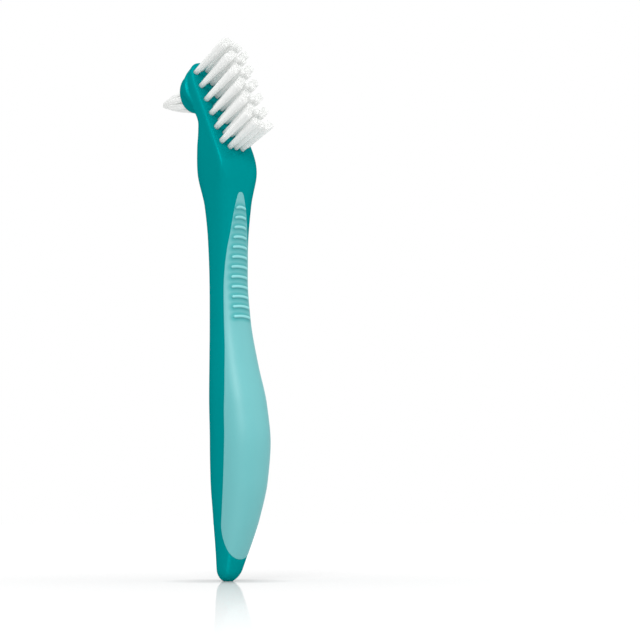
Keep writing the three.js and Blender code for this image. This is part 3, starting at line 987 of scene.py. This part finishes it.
@dataclass
class FilamentBundle:
    """A tuft as a bundle of separate nylon filaments.

    A filament leaves the hole and flares outwards: its offset from the axis grows from the packed
    place to its place at the tip by t^flare, and swells by a share of sin(pi t) on the way. The
    whole bundle leans over by t^2 times a vector. The filaments in the middle are packed so close
    that they are one core, a surface of revolution a little inside the outermost ones, and it
    stops short of the trimmed ends.
    """

    axis: TuftAxis
    seed: int
    count: int = 56
    root_radius: float = 0.8 * MM
    tip_radius: float = 1.42 * MM
    filament_radius: float = 0.115 * MM
    buried: float = 1.1 * MM
    flare: float = 0.9
    stray: float = 0.12 * MM
    uneven: float = 0.15 * MM
    longest: float = 0.3 * MM
    shortest_in_uneven: float = -3.0
    sides: int = 6
    rings: int = 5
    end_rise_in_radii: float = 0.6
    end_radius_share: float = 0.45
    belly: float = 0.0
    lean: Array = field(default_factory=lambda: np.zeros(3))
    core_share: float = 0.97
    core_stop: float = 0.3 * MM
    core_end_share: float = 0.6
    core_tone: float = 0.5
    core_sides: int = 24
    core_rings: int = 10

    def offsets(self, rng: np.random.Generator) -> tuple[Array, Array]:
        """Places the filaments on a sunflower spiral: radius sqrt(share), a golden angle apart.

        Args:
            rng: Source of the spiral's first turn and of how far the tips stray.

        Returns:
            Their places in the hole and at the tip.
        """
        order = np.arange(self.count)
        spread = np.sqrt((order + 0.5) / self.count)
        turn = order * GOLDEN_ANGLE + rng.uniform(0.0, FULL_TURN)
        disc = np.stack([spread * np.cos(turn), spread * np.sin(turn)], axis=-1)
        stray = rng.normal(0.0, self.stray, (self.count, 2))
        return disc * self.root_radius, disc * self.tip_radius + stray

    def ring_shares(self) -> Array:
        """Heights of the rings as shares of the length, with one more at the end to round it off."""
        return np.append(np.linspace(0.0, 1.0, self.rings), 1.0)

    def build(self, name: str) -> Piece:
        """Builds the bundle's mesh.

        Args:
            name: The piece's name.

        Returns:
            The object, with each filament's tone in a point attribute.
        """
        rng = np.random.default_rng(self.seed)
        root, tip = self.offsets(rng)
        frame = np.stack(self.axis.across())
        shares = self.ring_shares()
        trim = rng.normal(0.0, self.uneven, self.count)
        reach = self.axis.length + trim.clip(self.shortest_in_uneven * self.uneven, self.longest)
        along = -self.buried + shares[None, :] * (reach[:, None] + self.buried)
        along[:, -1] += self.filament_radius * self.end_rise_in_radii
        t = np.clip(along / self.axis.length, 0.0, None)[..., None]
        offset = root[:, None, :] + (tip - root)[:, None, :] * t**self.flare
        offset *= 1.0 + self.belly * np.sin(math.pi * np.minimum(t, 1.0))
        centre = self.axis.root + along[..., None] * self.axis.direction + offset @ frame + self.lean * t**2
        rings = len(shares)
        radius = np.full(rings, self.filament_radius)
        radius[-1] *= self.end_radius_share
        circle = unit_circle(self.sides) @ frame
        points = centre[:, :, None, :] + radius[None, :, None, None] * circle[None, None, :, :]
        core = self.core(frame)
        per_filament = rings * self.sides
        core_start = self.count * per_filament
        faces = [
            repeat_faces(ring_quads(rings, self.sides), self.count, per_filament),
            ring_quads(self.core_rings, self.core_sides) + core_start,
            repeat_faces(ring_caps(rings, self.sides), self.count, per_filament),
            ring_caps(self.core_rings, self.core_sides) + core_start,
        ]
        piece = make_piece(name, np.concatenate([points.reshape(-1, 3), core]), faces)
        tones = np.repeat(rng.uniform(0.0, 1.0, self.count), per_filament)
        set_values(piece, TONE, np.concatenate([tones, np.full(len(core), self.core_tone)]))
        return piece

    def core(self, frame: Array) -> Array:
        """Points of the core: its radius is a share of root + (tip - root) t^flare.

        The last ring is drawn in, and the rings crowd towards it as the sine of even steps.

        Args:
            frame: The two unit vectors square to the axis.

        Returns:
            The points, ring by ring, one row each.
        """
        circle = unit_circle(self.core_sides) @ frame
        top = self.axis.length - self.core_stop
        rise = np.sin(np.linspace(0.0, QUARTER_TURN, self.core_rings))
        along = -self.buried + rise * (top + self.buried)
        t = np.clip(along / self.axis.length, 0.0, None)
        radius = self.core_share * (self.root_radius + (self.tip_radius - self.root_radius) * t**self.flare)
        radius *= 1.0 + self.belly * np.sin(math.pi * t)
        radius[-1] *= self.core_end_share
        centre = self.axis.root + along[:, None] * self.axis.direction + self.lean * t[:, None] ** 2
        return (centre[:, None, :] + radius[:, None, None] * circle).reshape(-1, 3)


@dataclass
class Bristles:
    """Every tuft of the brush: the flat field in front and the pointed brush behind."""

    frame: dict[str, Any]
    moulding: Moulding
    buried: float = 1.85 * MM
    front_seed: int = 100
    rear_seed: int = 200
    rear_tip_radius: float = 0.4 * MM
    rear_uneven: float = 0.7 * MM
    rear_belly: float = 0.5
    rear_gather: float = 0.6
    rear_rings: int = 8
    rear_core_stop: float = 2.5 * MM
    rear_buried: float = 1.75 * MM
    finish: NylonFilament = NylonFilament()

    def axes(self, prefix: str) -> list[TuftAxis]:
        """Reads the axes of a group of tufts.

        Args:
            prefix: What the names of their nodes start with.

        Returns:
            The axes, in the order of those names.
        """
        height = self.moulding.height_of("under boss")
        inside = np.array([0.0, float(self.moulding.widest(np.array(height))), height])
        nodes = sorted(name for name in self.frame["nodes"] if name.startswith(prefix))
        return [TuftAxis.from_node(self.frame["nodes"][name], inside, self.buried) for name in nodes]

    def build(self) -> None:
        """Builds and dresses all bundles. The rear ones lean a share of the way to their mean tip."""
        material = self.finish.material()
        for number, axis in enumerate(self.axes("front_tuft")):
            self.place(FilamentBundle(axis, seed=self.front_seed + number), material)
        rear = self.axes("rear_tuft")
        point = np.mean([axis.root + axis.length * axis.direction for axis in rear], axis=0)
        for number, axis in enumerate(rear):
            aside = point - axis.root - axis.length * axis.direction
            bundle = FilamentBundle(
                axis,
                seed=self.rear_seed + number,
                tip_radius=self.rear_tip_radius,
                uneven=self.rear_uneven,
                belly=self.rear_belly,
                lean=self.rear_gather * aside,
                rings=self.rear_rings,
                core_stop=self.rear_core_stop,
                buried=self.rear_buried,
            )
            self.place(bundle, material)

    def place(self, bundle: FilamentBundle, material: bpy.types.Material) -> None:
        """Builds one bundle and puts it in place of its CAD solid.

        Args:
            bundle: The bundle.
            material: The nylon.
        """
        piece = bundle.build(bundle.axis.node.replace("tuft", "filaments"))
        dress(piece, material)
        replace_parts(piece, bundle.axis.node)


@dataclass
class TuftAnchors:
    """The metal plates that hold the tufts: one is driven across each hole's bottom, inside the body.

    A plate is a flat loop of superellipse |u / a|^n + |v / b|^n = 1, given a thickness and a
    smaller loop on both faces, which rounds its edges.
    """

    tufts: Sequence[TuftAxis]
    half_length: float = 1.05 * MM
    half_depth: float = 0.42 * MM
    half_thickness: float = 0.15 * MM
    below_surface: float = 1.5 * MM
    boxiness: float = 5.0
    edge_share: float = 0.86
    sides: int = 20
    finish: DrawnStrip = DrawnStrip()

    def profile(self) -> Array:
        """Works out one plate's points.

        Returns:
            Their places along its length, its depth and its thickness, ring by ring.
        """
        circle = unit_circle(self.sides)
        loop = circle * ray_length(circle[:, :1], circle[:, 1:], self.boxiness)
        loop *= [self.half_length, self.half_depth]
        shares = np.array([self.edge_share, 1.0, 1.0, self.edge_share])
        levels = np.array([-1.0, -self.edge_share, self.edge_share, 1.0]) * self.half_thickness
        flat = loop[None] * shares[:, None, None]
        level = np.broadcast_to(levels[:, None, None], (len(levels), self.sides, 1))
        return np.concatenate([flat, level], axis=-1).reshape(-1, 3)

    def build(self) -> Piece:
        """Builds and dresses all the plates as one piece, each with its length level in its hole.

        Returns:
            The piece.
        """
        profile = self.profile()
        across = [tuft.across() for tuft in self.tufts]
        frames = np.array([(side, tuft.direction, -up) for tuft, (side, up) in zip(self.tufts, across)])
        middles = np.array([tuft.root - self.below_surface * tuft.direction for tuft in self.tufts])
        points = middles[:, None, :] + np.einsum("pk,tkc->tpc", profile, frames)
        rings = len(profile) // self.sides
        plate = (ring_quads(rings, self.sides), ring_caps(rings, self.sides))
        faces = [repeat_faces(part, len(self.tufts), len(profile)) for part in plate]
        piece = make_piece("tuft_anchors", points.reshape(-1, 3), faces)
        return dress(piece, self.finish.material())


# ------------------------------------------------------------------ handle body and grip


@dataclass
class HandleBody:
    """The rigid moulding as a fine closed surface, with a recess under the grip and tuft holes."""

    moulding: Moulding
    outline: GripOutline
    tufts: Sequence[TuftAxis]
    columns: int = 256
    toe_rows: int = 30
    toe_crowding: float = 1.6
    handle_rows: int = 110
    head_rows: int = 70
    boss_rows: int = 120
    top_rows: int = 30
    recess_depth: float = 1.0 * MM
    recess_start: float = 0.4 * MM
    recess_full: float = 1.6 * MM
    hole_radius: float = 0.9 * MM
    hole_edge: float = 0.1 * MM
    hole_depth: float = 0.4 * MM
    finish: MouldedPlastic = MouldedPlastic()

    def heights(self) -> Array:
        """Spaces the rings, close together in the toe, at both edges of the boss and at the top.

        Returns:
            Their heights: a power of even steps in the toe and cosines of even turns at boss and top.
        """
        shape = self.moulding
        toe, neck, top = shape.toe_round, shape.height_of("neck"), shape.length
        axis, radius = top - shape.boss_below_top, shape.boss_radius
        rounded = toe * np.linspace(0.0, 1.0, self.toe_rows) ** self.toe_crowding
        handle = np.linspace(toe, neck, self.handle_rows + 1)[1:]
        head = np.linspace(neck, axis - radius, self.head_rows + 1)[1:]
        boss = axis - radius * np.cos(np.linspace(0.0, math.pi, self.boss_rows + 1)[1:])
        crown = top - (top - boss[-1]) * np.cos(np.linspace(0.0, QUARTER_TURN, self.top_rows + 1)[1:])
        return np.concatenate([rounded, handle, head, boss, np.minimum(crown, top)])

    def recess(self, height: Array, angle: Array) -> Array:
        """Inset under the grip: a smooth step down that starts a little inside the grip's edge.

        Args:
            height: Heights above the foot.
            angle: Polar angles from dead front.

        Returns:
            The insets, 0 outside the grip.
        """
        edge = np.maximum(self.outline.edge(height), LEAST_ANGLE)
        distance = self.outline.distance_inside(height, np.abs(angle) / edge)
        return self.recess_depth * smooth_step(self.recess_start, self.recess_full, distance)

    def sink_holes(self, points: Array) -> Array:
        """Sinks the surface along each tuft's axis within the hole's radius, by a smooth step.

        Args:
            points: The surface's points, one row each.

        Returns:
            The points with the holes.
        """
        sunk = points.copy()
        low, high = self.hole_radius - self.hole_edge, self.hole_radius + self.hole_edge
        for tuft in self.tufts:
            off = points - tuft.root
            along = off @ tuft.direction
            across = np.linalg.norm(off - along[:, None] * tuft.direction, axis=-1)
            near = (np.abs(along) < 2.0 * self.hole_radius) * (1.0 - smooth_step(low, high, across))
            sunk -= (self.hole_depth * near)[:, None] * tuft.direction
        return sunk

    def build(self) -> Piece:
        """Builds and dresses the moulding in place of its CAD solid.

        Returns:
            The piece.
        """
        heights = self.heights()[:, None]
        angles = (np.arange(self.columns) * FULL_TURN / self.columns)[None, :]
        wrapped = (angles + math.pi) % FULL_TURN - math.pi
        height, angle = np.broadcast_arrays(heights, wrapped)
        points = self.moulding.points(height, angle, self.recess(height, angle))
        rows = len(heights)
        faces = [ring_quads(rows, self.columns), ring_caps(rows, self.columns)]
        piece = make_piece("moulded_body", self.sink_holes(points.reshape(-1, 3)), faces)
        dress(piece, self.finish.material())
        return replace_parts(piece, "handle_body")


@dataclass
class FrontGrip:
    """The soft grip: a sheet let flush into the moulding, with rounded edges and cross ribs."""

    moulding: Moulding
    outline: GripOutline
    thickness: float = 1.4 * MM
    proud: float = 0.08 * MM
    edge_round: float = 0.22 * MM
    rib_count: int = 12
    rib_pitch: float = 3.28 * MM
    rib_below_top: float = 5.1 * MM
    rib_height: float = 0.6 * MM
    rib_half_width: float = 0.62 * MM
    rib_power: float = 0.7
    rib_arch: float = 0.28 * MM
    rib_half_length_top: float = 1.5 * MM
    rib_half_length_low: float = 2.8 * MM
    ribs_to_full_length: int = 6
    crest_share: float = 0.5
    trough_reach: float = 1.6 * MM
    bottom_rows: int = 60
    plain_rows: int = 90
    rows_per_mm: float = 8.0
    top_rows: int = 16
    columns: int = 97
    finish: SoftRubber = SoftRubber()

    def heights(self) -> Array:
        """Spaces the rows: crowded like an ellipse's rim, by 1 - cos, at the two round ends.

        Returns:
            Their heights.
        """
        outline = self.outline
        bottom_turn = np.linspace(0.0, QUARTER_TURN, self.bottom_rows)
        bottom = outline.bottom + outline.bottom_round * (1.0 - np.cos(bottom_turn))
        top_turn = np.linspace(QUARTER_TURN, 0.0, self.top_rows)
        top = outline.top - outline.top_round * (1.0 - np.cos(top_turn))
        ribs_from = outline.top - self.rib_below_top - self.rib_count * self.rib_pitch
        smooth = np.linspace(bottom[-1], ribs_from, self.plain_rows)[1:-1]
        ribbed = np.linspace(ribs_from, top[0], int((top[0] - ribs_from) / MM * self.rows_per_mm))[:-1]
        return np.concatenate([bottom, smooth, ribbed, top])

    def rib_distance(self, points: Array) -> Array:
        """Distance of each point to the nearest rib's middle line, seen from the front.

        A rib's middle line falls away to both sides as the square of the distance from its middle.

        Args:
            points: Points of the plain surface, with the last axis X, Y, Z.

        Returns:
            The distances.
        """
        nearest = np.full(points.shape[:-1], np.inf)
        for index in range(self.rib_count):
            growth = min(index / self.ribs_to_full_length, 1.0)
            half = self.rib_half_length_top + growth * (self.rib_half_length_low - self.rib_half_length_top)
            middle = self.outline.top - self.rib_below_top - index * self.rib_pitch
            middle = middle - self.rib_arch * (points[..., 0] / half) ** 2
            over = np.maximum(np.abs(points[..., 0]) - half, 0.0)
            nearest = np.minimum(nearest, np.hypot(over, points[..., 2] - middle))
        return nearest

    def ribs(self, distance: Array) -> Array:
        """Height of the ribs: a power of 1 - d^2, d in half widths, a ridge with a soft foot."""
        share = np.minimum(distance / self.rib_half_width, 1.0)
        return self.rib_height * (1.0 - share**2) ** self.rib_power

    def relief(self, distance: Array) -> Array:
        """Tells the painted highlight on the crests and the painted shade in the troughs, with a smooth step
        between each and the next.

        Args:
            distance: Distances to the nearest rib's middle line.

        Returns:
            +1 on a rib's crest, -1 beside it, and back to 0 on the plain surface.
        """
        painted_crest_highlight = 1.0 - smooth_step(self.crest_share * self.rib_half_width, self.rib_half_width, distance)
        clear = smooth_step(self.rib_half_width, self.rib_half_width + self.trough_reach, distance)
        return painted_crest_highlight - (1.0 - painted_crest_highlight) * (1.0 - clear)

    def edge_drop(self, height: Array, share: Array) -> Array:
        """Drop of the quarter-round edge: r - sqrt(r^2 - (r - d)^2) within r of the outline.

        Args:
            height: Heights of the points.
            share: Their polar angles as shares of the edge's, at least 0.

        Returns:
            The drops.
        """
        distance = np.maximum(self.outline.distance_inside(height, share), 0.0)
        into = np.clip(self.edge_round - distance, 0.0, self.edge_round)
        return self.edge_round - np.sqrt(self.edge_round**2 - into**2)

    def build(self) -> Piece:
        """Builds and dresses the grip in place of its CAD solid.

        Returns:
            The piece.
        """
        heights = self.heights()
        shares = np.sin(np.linspace(-1.0, 1.0, self.columns) * QUARTER_TURN)
        height, share = np.meshgrid(heights, shares, indexing="ij")
        angle = share * self.outline.edge(height)
        distance = self.rib_distance(self.moulding.points(height, angle))
        raised = self.proud + self.ribs(distance) - self.edge_drop(height, np.abs(share))
        outer = self.moulding.points(height, angle, -raised)
        inner = self.moulding.points(height, angle, self.thickness)
        points = np.concatenate([outer.reshape(-1, 3), inner.reshape(-1, 3)])
        piece = make_piece("soft_grip", points, [sheet_quads(len(heights), self.columns)])
        # The painted rib light goes to the rubber: highlight on the crests, shade in the troughs.
        set_values(piece, PAINTED_RIB_LIGHT, np.tile(self.relief(distance).ravel(), 2))
        dress(piece, self.finish.material())
        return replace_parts(piece, "front_grip")


# ------------------------------------------------------------------ studio


@dataclass(frozen=True)
class SoftSun:
    """A broad distant lamp, which lights the floor evenly and casts a soft shadow."""

    name: str
    azimuth: float
    elevation: float
    spread: float
    strength: float

    def build(self) -> None:
        """Adds the lamp. Azimuths run from dead front towards +X, in degrees as the other angles."""
        turn, lift = math.radians(self.azimuth), math.radians(self.elevation)
        out = Vector((math.sin(turn) * math.cos(lift), -math.cos(turn) * math.cos(lift), math.sin(lift)))
        lamp = bpy.data.lights.new(self.name, "SUN")
        lamp.energy = self.strength
        lamp.angle = math.radians(self.spread)
        holder = bpy.data.objects.new(self.name, lamp)
        holder.rotation_euler = (-out).to_track_quat("-Z", "Y").to_euler()
        bpy.context.scene.collection.objects.link(holder)


@dataclass
class Studio:
    """A white floor and world, soft light from the camera's side and above, and the camera."""

    ambient: float = 0.55
    floor_half: float = 6.0
    floor: WhiteFloor = WhiteFloor()
    camera_place: Triple = (-0.3501, -0.4024, 0.0191)
    camera_heading: float = -44.2
    camera_tilt: float = 6.99
    lens: float = 92.28
    sensor_width: float = 36.0
    clip_start: float = 10 * MM
    clip_end: float = 100.0
    lamps: tuple[SoftSun, ...] = (
        SoftSun("key", azimuth=-50.0, elevation=35.0, spread=30.0, strength=1.25),
        SoftSun("fill", azimuth=20.0, elevation=25.0, spread=80.0, strength=0.7),
        SoftSun("top", azimuth=-60.0, elevation=82.0, spread=50.0, strength=0.85),
    )

    def build(self) -> None:
        """Builds the world, the floor, the lamps and the camera."""
        self.build_world()
        self.build_floor()
        for lamp in self.lamps:
            lamp.build()
        self.build_camera()
        bpy.context.scene.view_settings.view_transform = "Standard"

    def build_world(self) -> None:
        """Makes a white world, dimmer as a light than as a background."""
        world = bpy.data.worlds.new("white studio")
        world.use_nodes = True
        bpy.context.scene.world = world
        graph = Graph(world.node_tree)
        background = graph.add("ShaderNodeBackground", Color=WHITE)
        graph.join(graph.ranged(graph.seen_directly(), self.ambient, 1.0), background.inputs["Strength"])
        graph.finish(background.outputs[0], "ShaderNodeOutputWorld")

    def build_floor(self) -> None:
        """Lays the floor, a flat square that keeps the brush's shadow."""
        half = self.floor_half
        points = np.array([[-half, -half, 0], [half, -half, 0], [half, half, 0], [-half, half, 0]])
        floor = make_piece("studio_floor", points, [np.array([[0, 1, 2, 3]])])
        floor.data.materials.append(self.floor.material())

    def build_camera(self) -> None:
        """Sets up a long lens near the floor that looks slightly up at the brush."""
        camera = bpy.data.cameras.new("camera")
        camera.lens = self.lens
        camera.sensor_width = self.sensor_width
        camera.clip_start = self.clip_start
        camera.clip_end = self.clip_end
        holder = bpy.data.objects.new("camera", camera)
        holder.location = self.camera_place
        tilt, heading = math.radians(90.0 + self.camera_tilt), math.radians(self.camera_heading)
        holder.rotation_euler = Euler((tilt, 0.0, heading))
        bpy.context.scene.collection.objects.link(holder)
        bpy.context.scene.camera = holder


def main() -> None:
    """Loads the frame and builds every sub-assembly in order."""
    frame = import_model()
    moulding = Moulding.from_frame()
    outline = GripOutline.from_frame(moulding)
    bristles = Bristles(frame, moulding)
    tufts = bristles.axes("front_tuft") + bristles.axes("rear_tuft")
    HandleBody(moulding, outline, tufts).build()
    FrontGrip(moulding, outline).build()
    TuftAnchors(tufts).build()
    bristles.build()
    Studio().build()


if __name__ == "__main__":
    main()
